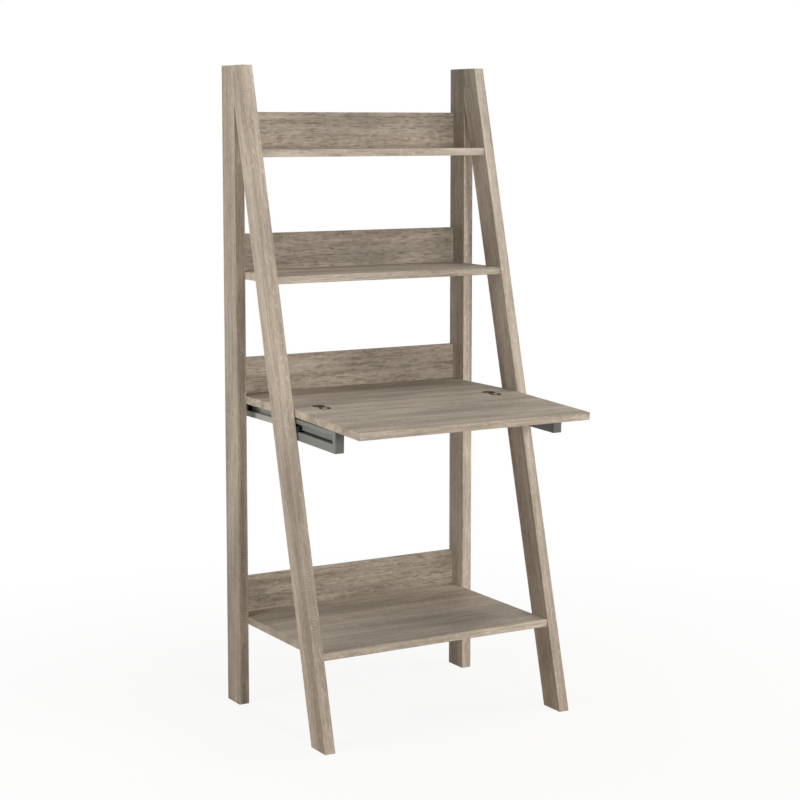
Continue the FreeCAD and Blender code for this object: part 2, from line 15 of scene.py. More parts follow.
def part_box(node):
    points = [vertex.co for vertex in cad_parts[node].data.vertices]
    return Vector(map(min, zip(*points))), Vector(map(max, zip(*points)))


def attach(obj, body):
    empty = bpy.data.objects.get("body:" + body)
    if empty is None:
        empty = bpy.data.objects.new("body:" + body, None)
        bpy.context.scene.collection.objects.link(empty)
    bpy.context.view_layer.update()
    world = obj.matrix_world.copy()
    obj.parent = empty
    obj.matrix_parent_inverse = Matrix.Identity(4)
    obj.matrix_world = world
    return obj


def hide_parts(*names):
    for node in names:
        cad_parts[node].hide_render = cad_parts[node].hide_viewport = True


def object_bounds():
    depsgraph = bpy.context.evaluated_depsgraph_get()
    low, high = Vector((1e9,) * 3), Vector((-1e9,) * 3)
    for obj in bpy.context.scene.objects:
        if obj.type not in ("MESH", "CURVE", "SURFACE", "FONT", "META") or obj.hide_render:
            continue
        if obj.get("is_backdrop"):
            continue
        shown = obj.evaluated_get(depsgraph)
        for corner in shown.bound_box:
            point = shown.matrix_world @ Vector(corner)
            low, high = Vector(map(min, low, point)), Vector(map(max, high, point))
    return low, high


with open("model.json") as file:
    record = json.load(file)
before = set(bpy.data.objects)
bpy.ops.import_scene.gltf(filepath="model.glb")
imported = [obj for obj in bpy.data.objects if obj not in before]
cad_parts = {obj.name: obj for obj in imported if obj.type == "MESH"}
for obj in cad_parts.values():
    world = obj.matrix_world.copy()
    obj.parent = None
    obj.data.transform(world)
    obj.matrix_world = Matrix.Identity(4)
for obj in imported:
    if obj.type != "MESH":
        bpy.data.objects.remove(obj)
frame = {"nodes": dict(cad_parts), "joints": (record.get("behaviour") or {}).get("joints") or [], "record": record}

LOG = logging.getLogger("ladder_desk")
CAD_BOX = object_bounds()
MM = 0.001

Triple = tuple[float, float, float]
Colour = tuple[float, float, float, float]
FaceTest = Callable[[Vector, Vector], bool]
Socket = bpy.types.NodeSocket
Tint = Callable[["Recipe", Socket, Socket], Socket]

ORIGIN: Triple = (0.0, 0.0, 0.0)
WHITE: Colour = (1.0, 1.0, 1.0, 1.0)
BACK = Vector((0, 1, 0))
UP = Vector((0, 0, 1))

# Curve of a screen's colours: a short straight foot, then a power.
SCREEN_FULL = 255
FOOT_END = 0.04045
FOOT_SLOPE = 12.92
CURVE_LIFT = 0.055
CURVE_POWER = 2.4

# Middle of a noise, and the values that it seldom leaves.
NOISE_MIDDLE = 0.5
NOISE_LOW = 0.3
NOISE_HIGH = 0.7

# Least part of a face's normal along a direction for the face to look that way.
SQUARE = 0.9

# Edges that turn more than the first are rounded, and those under the second are shaded smooth.
ROUND_OVER = math.radians(35)
SMOOTH_UNDER = math.radians(40)


def linear(level: float) -> float:
    """Turn one channel of a screen's colour into a share of light.

    Args:
        level: Channel as the screen shows it, 0 to 255.

    Returns:
        The share of light, 0 to 1.
    """
    shown = level / SCREEN_FULL
    if shown <= FOOT_END:
        return shown / FOOT_SLOPE
    return ((shown + CURVE_LIFT) / (1 + CURVE_LIFT)) ** CURVE_POWER


def srgb(red: float, green: float, blue: float) -> Colour:
    """Colour that a shader takes, with full alpha, from the channels that a screen shows."""
    return (linear(red), linear(green), linear(blue), 1.0)


def alike(value: float) -> Triple:
    """The same value on every axis."""
    return (value, value, value)


@dataclass(frozen=True)
class Span:
    """Stretch of values, and the results that it is spread over.

    Attributes:
        low: Value that gives the start.
        high: Value that gives the end.
        start: Result at the low value and past it.
        end: Result at the high value and past it.
    """

    low: float
    high: float
    start: float = 0.0
    end: float = 1.0

    @classmethod
    def about(cls, middle: float, below: float, above: float) -> "Span":
        """Spread a noise from a little below a middle result to a little above it."""
        return cls(NOISE_LOW, NOISE_HIGH, middle - below, middle + above)


@dataclass(frozen=True)
class Pattern:
    """Cloudy pattern of a finish.

    Attributes:
        rate: Lumps per metre along each axis.
        octaves: Layers of finer lumps.
        span: Part of its noise that shows, and how strongly.
        rough: Strength of the finer lumps.
    """

    rate: Triple
    octaves: float
    span: Span = Span(0.0, 1.0)
    rough: float = 0.55


class Named(Enum):
    """Choice whose name, in small letters, is a word in the names of pieces."""

    @property
    def label(self) -> str:
        """That word."""
        return self.name.lower()


class Side(Named):
    """The two sides of the desk, with the sign of x on each."""

    LEFT = -1
    RIGHT = 1


class Panel(Named):
    """The two panels that a hinge joins, with the sign of y from its pivot to each."""

    SHELF = 1
    FLAP = -1

    @property
    def body(self) -> str:
        """Body that carries the hinge's half in this panel."""
        return "flap" if self is Panel.FLAP else "frame"


class Board(Enum):
    """Kinds of board in the desk, by a word in their names."""

    FRONT_LEG = "front_leg"
    REAR_LEG = "rear_leg"
    BACK_BOARD = "back_board"
    PANEL = "panel"

    @classmethod
    def named(cls, node: str) -> "Board":
        """Kind of the board with a node's name, a shelf or the flap where no other fits."""
        return next((kind for kind in cls if kind.value in node), cls.PANEL)

    def turn(self, lean: float) -> Triple:
        """Turn that brings the grain of such a board along x.

        Args:
            lean: Angle of the front legs from upright, in radians.

        Returns:
            Angles about x, y and z for a Mapping node.
        """
        quarter = math.pi / 2
        turns = {Board.FRONT_LEG: (lean, quarter, 0.0), Board.REAR_LEG: (0.0, quarter, 0.0)}
        return turns.get(self, ORIGIN)

    def broad(self) -> Triple:
        """Direction that its broad faces look in."""
        ways = {Board.BACK_BOARD: (0.0, 1.0, 0.0), Board.PANEL: (0.0, 0.0, 1.0)}
        return ways.get(self, (1.0, 0.0, 0.0))

    def flecks(self) -> Pattern:
        """Dark flecks along its grain, closer and stronger on a back board."""
        rate, strength = (30.0, 0.85) if self is Board.BACK_BOARD else (15.0, 0.5)
        return Pattern((rate, 230.0, 230.0), 2.0, Span(0.5, 0.68, end=strength))

    def blotches(self) -> Pattern:
        """Tone of the broad patches on it, which differ more on a back board."""
        darkest, lightest = (0.76, 1.2) if self is Board.BACK_BOARD else (0.86, 1.12)
        return Pattern((4.0, 12.0, 12.0), 2.0, Span(0.35, 0.65, darkest, lightest))


class NodeTree:
    """Node tree of a material or of the world, with short calls to grow it."""

    # Sockets of a Mix node that take and give colours.
    MIX_FIRST = 6
    MIX_SECOND = 7
    MIX_RESULT = 2

    def __init__(self, tree: bpy.types.NodeTree) -> None:
        """Take up a tree."""
        self.tree = tree

    def add(self, kind: str, **settings: object) -> bpy.types.Node:
        """Add a node.

        Args:
            kind: Type of the node.
            **settings: Properties of the node to set.

        Returns:
            The new node.
        """
        node = self.tree.nodes.new(kind)
        for name, value in settings.items():
            setattr(node, name, value)
        return node

    def join(self, source: Socket, target: Socket) -> None:
        """Link an output to an input."""
        self.tree.links.new(source, target)

    def feed(self, target: Socket, value: object) -> None:
        """Give an input either a link or a plain value.

        Args:
            target: Input to feed.
            value: Output to link to it, or the value to set on it.
        """
        if isinstance(value, bpy.types.NodeSocket):
            self.join(value, target)
        else:
            target.default_value = value

    def compute(self, operation: str, first: object, second: object = 0.0) -> Socket:
        """Do one arithmetic step.

        Args:
            operation: Name of the step.
            first: First link or value.
            second: Second link or value, where the step takes one.

        Returns:
            The result.
        """
        node = self.add("ShaderNodeMath", operation=operation)
        self.feed(node.inputs[0], first)
        self.feed(node.inputs[1], second)
        return node.outputs["Value"]

    def blend(self, share: Socket, first: object, second: object) -> Socket:
        """Mix two colours.

        Args:
            share: Share of the second colour.
            first: First link or colour.
            second: Second link or colour.

        Returns:
            The mixed colour.
        """
        node = self.add("ShaderNodeMix", data_type="RGBA")
        self.join(share, node.inputs[0])
        self.feed(node.inputs[self.MIX_FIRST], first)
        self.feed(node.inputs[self.MIX_SECOND], second)
        return node.outputs[self.MIX_RESULT]

    def seen(self) -> Socket:
        """Tell the rays that look from the rays that carry light.

        Returns:
            1 on camera, mirror and glass rays, and 0 on all others.
        """
        path = self.add("ShaderNodeLightPath")
        both = self.compute("MAXIMUM", path.outputs["Is Camera Ray"], path.outputs["Is Glossy Ray"])
        return self.compute("MAXIMUM", both, path.outputs["Is Transmission Ray"])


class Recipe(NodeTree):
    """Node tree of one material that ends in a Principled shader."""

    # How far a rounded normal agrees with the flat one, on a flat and on a worn edge.
    EDGE = Span(0.99, 0.8)
    EDGE_SAMPLES = 4

    def __init__(self, name: str) -> None:
        """Start an empty material with only its shader.

        Args:
            name: Name of the material.
        """
        self.material = bpy.data.materials.new(name)
        self.material.use_nodes = True
        super().__init__(self.material.node_tree)
        self.tree.nodes.clear()
        self.surface = self.add("ShaderNodeBsdfPrincipled")
        self.output = self.add("ShaderNodeOutputMaterial")
        self.join(self.surface.outputs["BSDF"], self.output.inputs["Surface"])

    def place(self, shift: Triple = ORIGIN, turn: Triple = ORIGIN) -> Socket:
        """Object coordinates, turned and shifted for one piece.

        Args:
            shift: Distance that the pattern is moved, in metres.
            turn: Angles about x, y and z.

        Returns:
            The coordinates, in metres.
        """
        source = self.add("ShaderNodeTexCoord")
        mapping = self.add("ShaderNodeMapping")
        self.join(source.outputs["Object"], mapping.inputs["Vector"])
        mapping.inputs["Location"].default_value = shift
        mapping.inputs["Rotation"].default_value = turn
        return mapping.outputs["Vector"]

    def vector(self, operation: str, first: Socket, second: object, result: str = "Vector") -> Socket:
        """Do one step on two vectors.

        Args:
            operation: Name of the step.
            first: First link.
            second: Second link or vector.
            result: Output that holds the result, Vector or Value.

        Returns:
            The result.
        """
        node = self.add("ShaderNodeVectorMath", operation=operation)
        self.join(first, node.inputs[0])
        self.feed(node.inputs[1], second)
        return node.outputs[result]

    def distance(self, place: Socket) -> Socket:
        """How far a place lies from the origin of its coordinates."""
        return self.vector("DISTANCE", place, ORIGIN, "Value")

    def along_x(self, place: Socket) -> Socket:
        """Take the x of a place.

        Args:
            place: Coordinates in metres.

        Returns:
            Their x, in metres.
        """
        parts = self.add("ShaderNodeSeparateXYZ")
        self.join(place, parts.inputs[0])
        return parts.outputs["X"]

    def noise_node(self, place: Socket, pattern: Pattern) -> bpy.types.Node:
        """Add the noise of a pattern.

        Args:
            place: Coordinates in metres.
            pattern: Pattern to follow.

        Returns:
            The noise node, with a grey and a colour output.
        """
        node = self.add("ShaderNodeTexNoise")
        self.join(self.vector("MULTIPLY", place, pattern.rate), node.inputs["Vector"])
        for name, value in (("Scale", 1.0), ("Detail", pattern.octaves), ("Roughness", pattern.rough)):
            node.inputs[name].default_value = value
        return node

    def noise(self, place: Socket, pattern: Pattern) -> Socket:
        """Noise of a pattern from 0 to 1, before its span is taken."""
        return self.noise_node(place, pattern).outputs["Fac"]

    def marks(self, place: Socket, pattern: Pattern) -> Socket:
        """What shows of a pattern."""
        return self.span(self.noise(place, pattern), pattern.span)

    def sway(self, place: Socket, bends: Pattern, reach: Triple) -> Socket:
        """Coordinates that wander from side to side, as grain does.

        Args:
            place: Coordinates in metres.
            bends: Pattern of the bends.
            reach: Widest shift on each axis, in metres.

        Returns:
            The shifted coordinates.
        """
        drift = self.noise_node(place, bends).outputs["Color"]
        centred = self.vector("SUBTRACT", drift, alike(NOISE_MIDDLE))
        return self.vector("ADD", self.vector("MULTIPLY", centred, reach), place)

    def span(self, value: Socket, span: Span) -> Socket:
        """Spread a value over the results of a span.

        Args:
            value: Value to spread.
            span: Span to follow.

        Returns:
            The result.
        """
        node = self.add("ShaderNodeMapRange", clamp=True)
        self.join(value, node.inputs["Value"])
        names = ("From Min", "From Max", "To Min", "To Max")
        for name, number in zip(names, (span.low, span.high, span.start, span.end)):
            node.inputs[name].default_value = number
        return node.outputs["Result"]

    def weigh(self, *layers: tuple[Socket, float]) -> Socket:
        """Add up patterns, each times its weight.

        Args:
            *layers: Pairs of a pattern and its weight.

        Returns:
            The sum.
        """
        weighed = [self.compute("MULTIPLY", layer, weight) for layer, weight in layers]
        total = weighed[0]
        for layer in weighed[1:]:
            total = self.compute("ADD", total, layer)
        return total

    def worn_edges(self, radius: float) -> Socket:
        """Find the sharp edges of a piece.

        Args:
            radius: How far from an edge it still counts, in metres.

        Returns:
            0 on a flat, up to 1 on an edge.
        """
        rounded = self.add("ShaderNodeBevel", samples=self.EDGE_SAMPLES)
        rounded.inputs["Radius"].default_value = radius
        flat = self.add("ShaderNodeNewGeometry")
        agreement = self.vector("DOT_PRODUCT", rounded.outputs["Normal"], flat.outputs["Normal"], "Value")
        return self.span(agreement, self.EDGE)

    def facing(self, way: Triple) -> Socket:
        """Compare the way that the piece's own faces look with a direction.

        Args:
            way: Direction in the piece's coordinates.

        Returns:
            1 where they look along it, down to -1 where they look against it.
        """
        flat = self.add("ShaderNodeNewGeometry")
        own = self.add("ShaderNodeVectorTransform", vector_type="NORMAL")
        own.convert_from = "WORLD"
        own.convert_to = "OBJECT"
        self.join(flat.outputs["True Normal"], own.inputs["Vector"])
        return self.vector("DOT_PRODUCT", own.outputs["Vector"], way, "Value")

    def relief(self, height: Socket, depth: float, strength: float) -> None:
        """Raise the surface by a height pattern.

        Args:
            height: Pattern of heights from 0 to 1.
            depth: Distance that 1 stands for, in metres.
            strength: Share of the effect.
        """
        bump = self.add("ShaderNodeBump")
        bump.inputs["Strength"].default_value = strength
        bump.inputs["Distance"].default_value = depth
        self.join(height, bump.inputs["Height"])
        self.join(bump.outputs["Normal"], self.surface.inputs["Normal"])

    def set(self, name: str, value: object) -> None:
        """Give an input of the shader a link or a plain value."""
        self.feed(self.surface.inputs[name], value)


@dataclass(frozen=True)
class SawnOak:
    """Grey-taupe oak laminate: streaks, rings, pores, saw marks across the grain and paler edges.

    The grain runs along x, so the first rate of each pattern counts along it and the others across it.
    Rings and saw marks are sine waves, and their angles are in radians.
    """

    pale: Colour = srgb(190, 179, 164)
    body: Colour = srgb(171, 158, 143)
    deep: Colour = srgb(133, 119, 103)
    ring: Colour = srgb(124, 109, 94)
    pore: Colour = srgb(106, 92, 78)
    worn: Colour = srgb(200, 189, 175)
    bends: Pattern = Pattern((1.3, 6.0, 6.0), 1.0, rough=0.5)
    bend_reach: Triple = (0.0, 16.0 * MM, 16.0 * MM)
    cloud: Pattern = Pattern((0.8, 15.0, 15.0), 2.0, Span(0.34, 0.66))
    streak: Pattern = Pattern((2.2, 115.0, 115.0), 5.0, Span(0.46, 0.72, end=0.62), rough=0.6)
    fibre: Pattern = Pattern((11.0, 520.0, 520.0), 2.0, Span(0.45, 0.75, end=0.3))
    contour: Pattern = Pattern((0.7, 8.0, 8.0), 1.0)
    contour_angle: float = 130.0
    ring_line: Span = Span(0.3, 1.0)
    ring_patch: Pattern = Pattern((1.3, 6.5, 6.5), 1.0, Span(0.46, 0.62, end=0.14))
    pale_fleck: Pattern = Pattern((70.0, 190.0, 190.0), 2.0, Span(0.52, 0.7, end=0.55))
    stripe: Pattern = Pattern((0.8, 26.0, 26.0), 2.0, Span(0.36, 0.64, 0.86, 1.1))
    pores: Pattern = Pattern((42.0, 760.0, 760.0), 1.0, Span(0.6, 0.72, end=0.4))
    saw_pitch: float = 6.2 * MM
    saw_waver: Pattern = Pattern((14.0, 30.0, 30.0), 2.0)
    saw_waver_angle: float = 26.0
    saw_line: Span = Span(0.1, 1.0)
    saw_patch: Pattern = Pattern((4.0, 16.0, 16.0), 2.0, Span(0.48, 0.66))
    saw_share: float = 0.26
    wear_radius: float = 1.6 * MM
    wear_patch: Pattern = Pattern((60.0, 90.0, 90.0), 3.0, Span(0.42, 0.62))
    wear_share: float = 0.45
    band_tone: float = 1.17
    band_faces: Span = Span(0.6, 0.2)
    rough: Span = Span(0.3, 0.75, 0.54, 0.66)
    gloss: float = 0.12
    streak_height: float = 0.5
    fibre_height: float = 0.3
    pore_height: float = -0.6
    saw_height: float = 0.4
    relief_depth: float = 0.3 * MM
    relief_strength: float = 0.5

    def mix(self, name: str, shift: Triple, kind: Board, lean: float, tone: float) -> bpy.types.Material:
        """Make the material of one board.

        Args:
            name: Name of the material.
            shift: Move of the pattern, so that no two boards match.
            kind: Kind of board.
            lean: Angle of the front legs from upright, in radians.
            tone: Lightness of its broad faces, where 1 is as mixed; a tone above 1 is painted light.

        Returns:
            The material.
        """
        recipe = Recipe(name)
        straight = recipe.place(shift, kind.turn(lean))
        place = recipe.sway(straight, self.bends, self.bend_reach)

        # Broad clouds, then streaks and fibres along the grain.
        streak = recipe.noise(place, self.streak)
        fibre = recipe.noise(place, self.fibre)
        colour = recipe.blend(recipe.marks(place, self.cloud), self.body, self.pale)
        colour = recipe.blend(recipe.span(streak, self.streak.span), colour, self.deep)
        colour = recipe.blend(recipe.span(fibre, self.fibre.span), colour, self.deep)

        # Faint rings, in patches.
        angle = recipe.compute("MULTIPLY", recipe.noise(place, self.contour), self.contour_angle)
        lines = recipe.span(recipe.compute("SINE", angle), self.ring_line)
        rings = recipe.compute("MULTIPLY", lines, recipe.marks(place, self.ring_patch))
        colour = recipe.blend(rings, colour, self.ring)

        # Dark and pale flecks, then broad patches and long stripes of another tone.
        colour = recipe.blend(recipe.marks(place, kind.flecks()), colour, self.deep)
        colour = recipe.blend(recipe.marks(straight, self.pale_fleck), colour, self.worn)
        colour = recipe.vector("MULTIPLY", colour, recipe.marks(straight, kind.blotches()))
        colour = recipe.vector("MULTIPLY", colour, recipe.marks(place, self.stripe))

        # Pores, saw marks and scuffed edges.
        pores = recipe.marks(place, self.pores)
        saw = self.saw_marks(recipe, straight)
        scuffed = recipe.marks(straight, self.wear_patch)
        wear = recipe.compute("MULTIPLY", recipe.worn_edges(self.wear_radius), scuffed)
        colour = recipe.blend(pores, colour, self.pore)
        colour = recipe.blend(recipe.compute("MULTIPLY", saw, self.saw_share), colour, self.worn)
        colour = recipe.blend(recipe.compute("MULTIPLY", wear, self.wear_share), colour, self.worn)

        # The narrow faces have a paler band; the broad faces take the board's tone, painted light where it is
        # above 1.
        face = recipe.vector("MULTIPLY", colour, alike(tone))
        band = recipe.vector("MULTIPLY", colour, alike(self.band_tone))
        broad = recipe.compute("ABSOLUTE", recipe.facing(kind.broad()))
        recipe.set("Base Color", recipe.blend(recipe.span(broad, self.band_faces), face, band))
        recipe.set("Roughness", recipe.span(streak, self.rough))
        recipe.set("Specular IOR Level", self.gloss)
        height = recipe.weigh(
            (streak, self.streak_height),
            (fibre, self.fibre_height),
            (pores, self.pore_height),
            (saw, self.saw_height),
        )
        recipe.relief(height, self.relief_depth, self.relief_strength)
        return recipe.material

    def saw_marks(self, recipe: Recipe, place: Socket) -> Socket:
        """Strokes of the saw across the grain, in patches.

        Args:
            recipe: Material that they belong to.
            place: Coordinates with the grain along x.

        Returns:
            The strokes, from 0 to 1.
        """
        waver = recipe.compute("MULTIPLY", recipe.noise(place, self.saw_waver), self.saw_waver_angle)
        angle = recipe.compute("MULTIPLY", recipe.along_x(place), math.tau / self.saw_pitch)
        lines = recipe.span(recipe.compute("SINE", recipe.compute("ADD", angle, waver)), self.saw_line)
        return recipe.compute("MULTIPLY", lines, recipe.marks(place, self.saw_patch))


@dataclass(frozen=True)
class Coating:
    """Paint or plastic: one colour with slight mottling, rubbed edges and a fine skin of lumps."""

    colour: Colour
    rubbed: Colour
    rough: float
    skin_rate: float
    skin_depth: float
    gloss: float = 0.5
    mottle: Pattern = Pattern(alike(45.0), 3.0, Span(0.35, 0.75, end=0.22))
    scuff: Span = Span(0.4, 0.6, 0.15, 0.6)
    wear_radius: float = 1.2 * MM
    relief_strength: float = 0.4

    def mix(self, name: str, tint: Tint | None = None) -> bpy.types.Material:
        """Make the material.

        Args:
            name: Name of the material.
            tint: Change of the colour from place to place, where it has one.

        Returns:
            The material.
        """
        recipe = Recipe(name)
        place = recipe.place()
        mottle = recipe.noise(place, self.mottle)
        skin = recipe.noise(place, Pattern(alike(self.skin_rate), octaves=2.0))
        colour = recipe.blend(recipe.span(mottle, self.mottle.span), self.colour, self.rubbed)
        if tint:
            colour = tint(recipe, place, colour)
        scuffed = recipe.span(mottle, self.scuff)
        wear = recipe.compute("MULTIPLY", recipe.worn_edges(self.wear_radius), scuffed)
        recipe.set("Base Color", recipe.blend(wear, colour, self.rubbed))
        recipe.set("Roughness", recipe.span(skin, Span.about(self.rough, below=0.06, above=0.08)))
        recipe.set("Specular IOR Level", self.gloss)
        recipe.relief(skin, self.skin_depth, self.relief_strength)
        return recipe.material


ARM_GREY = Coating(
    srgb(93, 94, 89), srgb(122, 122, 116), rough=0.42, skin_rate=900.0, skin_depth=0.05 * MM
)
RUNNER_GREY = Coating(
    srgb(172, 174, 167), srgb(188, 189, 183), rough=0.45, skin_rate=1400.0, skin_depth=0.08 * MM
)
BLACK_NYLON = Coating(
    srgb(24, 24, 25), srgb(48, 48, 49), rough=0.6, skin_rate=1800.0, skin_depth=0.06 * MM, gloss=0.2
)
CAP_TAUPE = Coating(
    srgb(150, 137, 122), srgb(169, 155, 139), rough=0.6, skin_rate=700.0, skin_depth=0.05 * MM, gloss=0.3
)


@dataclass(frozen=True)
class ArmPaint:
    """Grey paint of one arm, with painted light that makes its outer face pale and painted shade that darkens its
    inner face and its groove.

    The groove's painted shade shows on faces that lie nearer to the desk's middle than its plane.
    """

    side: Side
    groove_plane: float
    base: Coating = ARM_GREY
    # Painted light: paler grey on the outer face.
    outer: Colour = srgb(120, 122, 117)
    # Painted shade: darker grey on the inner face.
    inner: Colour = srgb(70, 66, 61)
    # Painted shade: dark grey in the groove.
    groove: Colour = srgb(44, 45, 42)
    groove_edge: float = 0.5 * MM
    outward: Span = Span(0.2, 0.6)
    inward: Span = Span(-0.2, -0.6)

    def mix(self, name: str) -> bpy.types.Material:
        """Make the material, with a name of its own."""
        return self.base.mix(name, self.tint)

    def tint(self, recipe: Recipe, place: Socket, colour: Socket) -> Socket:
        """Paint light and shade on the faces by the way they look and by how deep they lie.

        Args:
            recipe: Material that they belong to.
            place: Coordinates in metres.
            colour: Colour of the paint where nothing changes it.

        Returns:
            The colour from place to place.
        """
        sign = float(self.side.value)
        facing = recipe.facing((sign, 0.0, 0.0))
        reach = recipe.compute("MULTIPLY", recipe.along_x(place), sign)
        # Painted shade in the groove, on outer faces that lie deeper than its plane.
        shallow = recipe.span(reach, Span(self.groove_plane - self.groove_edge, self.groove_plane))
        face = recipe.blend(shallow, self.groove, self.outer)
        # Painted light on the outer face, then painted shade on the inner face.
        colour = recipe.blend(recipe.span(facing, self.outward), colour, face)
        return recipe.blend(recipe.span(facing, self.inward), colour, self.inner)


@dataclass(frozen=True)
class Plating:
    """Bare or plated metal with brushed streaks, stains and bright rubbed edges."""

    colour: Colour
    stain: Colour
    bright: Colour
    rough: float = 0.34
    cloud: Pattern = Pattern(alike(160.0), 4.0, Span(0.42, 0.7, end=0.8))
    brush: Pattern = Pattern((300.0, 4200.0, 4200.0), 2.0)
    wear_radius: float = 0.5 * MM
    relief_depth: float = 0.05 * MM
    relief_strength: float = 0.3

    def mix(self, name: str) -> bpy.types.Material:
        """Make the material.

        Args:
            name: Name of the material.

        Returns:
            The material.
        """
        recipe = Recipe(name)
        place = recipe.place()
        cloud = recipe.noise(place, self.cloud)
        colour = recipe.blend(recipe.span(cloud, self.cloud.span), self.colour, self.stain)
        recipe.set("Base Color", recipe.blend(recipe.worn_edges(self.wear_radius), colour, self.bright))
        recipe.set("Metallic", 1.0)
        recipe.set("Roughness", recipe.span(cloud, Span.about(self.rough, below=0.08, above=0.14)))
        recipe.relief(recipe.noise(place, self.brush), self.relief_depth, self.relief_strength)
        return recipe.material


PIN_BRONZE = Plating(srgb(92, 78, 64), stain=srgb(58, 48, 39), bright=srgb(168, 152, 130))
ZINC = Plating(srgb(186, 188, 190), stain=srgb(140, 143, 146), bright=srgb(226, 227, 228))


@dataclass(frozen=True)
class RubbedBronze:
    """Dark lacquered bronze of the hinge plates, turned on a lathe, with a bright middle that is partly rubbed
    metal and partly a painted highlight.
    """

    rim: Colour = srgb(56, 40, 26)
    stain: Colour = srgb(36, 25, 16)
    # Bright middle: rubbed metal, and partly a painted highlight.
    middle: Colour = srgb(226, 209, 180)
    worn: Colour = srgb(128, 112, 94)
    cloud: Pattern = Pattern(alike(190.0), 4.0, Span(0.4, 0.7, end=0.8))
    full_share: float = 0.9
    dull_share: float = 0.55
    wear_radius: float = 0.4 * MM
    wear_share: float = 0.12
    gloss: float = 0.12
    rough: Span = Span(NOISE_LOW, NOISE_HIGH, 0.4, 0.6)
    lathe_pitch: float = 0.5 * MM
    lathe_depth: float = 0.03 * MM
    relief_strength: float = 0.25

    def mix(self, name: str, centre: Vector, radius: float, shine: float) -> bpy.types.Material:
        """Make the material of one plate.

        Args:
            name: Name of the material.
            centre: Middle of the plate's face.
            radius: Radius of the bright middle, rubbed metal with a painted highlight.
            shine: How bright the middle is, rubbed metal and painted highlight together, from 0 to 1.

        Returns:
            The material.
        """
        recipe = Recipe(name)
        place = recipe.place(tuple(-centre))
        reach = recipe.distance(place)
        cloud = recipe.noise(place, self.cloud)
        # The bright middle: rubbed metal with a painted highlight, brighter on the flap's plate than on the
        # shelf's.
        inside = recipe.span(reach, Span(radius, self.full_share * radius))
        polish = recipe.span(cloud, Span(NOISE_LOW, NOISE_HIGH, shine, self.dull_share * shine))
        rubbed = recipe.compute("MULTIPLY", inside, polish)
        colour = recipe.blend(recipe.span(cloud, self.cloud.span), self.rim, self.stain)
        colour = recipe.blend(rubbed, colour, self.middle)
        edge = recipe.compute("MULTIPLY", recipe.worn_edges(self.wear_radius), self.wear_share)
        recipe.set("Base Color", recipe.blend(edge, colour, self.worn))
        recipe.set("Metallic", rubbed)
        recipe.set("Specular IOR Level", self.gloss)
        recipe.set("Roughness", recipe.span(cloud, self.rough))
        angle = recipe.compute("MULTIPLY", reach, math.tau / self.lathe_pitch)
        recipe.relief(recipe.compute("SINE", angle), self.lathe_depth, self.relief_strength)
        return recipe.material


@dataclass(frozen=True)
class Beech:
    """Plain beech of the dowels: pale, with short flecks along the grain."""

    body: Colour = srgb(214, 184, 146)
    fleck: Colour = srgb(170, 132, 94)
    flecks: Pattern = Pattern((180.0, 900.0, 900.0), 3.0, Span(0.5, 0.68, end=0.8))
    rough: Span = Span(0.0, 0.8, 0.6, 0.75)
    relief_depth: float = 0.2 * MM
    relief_strength: float = 0.4

    def mix(self, name: str) -> bpy.types.Material:
        """Make the material.

        Args:
            name: Name of the material.

        Returns:
            The material.
        """
        recipe = Recipe(name)
        flecks = recipe.marks(recipe.place(), self.flecks)
        recipe.set("Base Color", recipe.blend(flecks, self.body, self.fleck))
        recipe.set("Roughness", recipe.span(flecks, self.rough))
        recipe.relief(flecks, self.relief_depth, self.relief_strength)
        return recipe.material


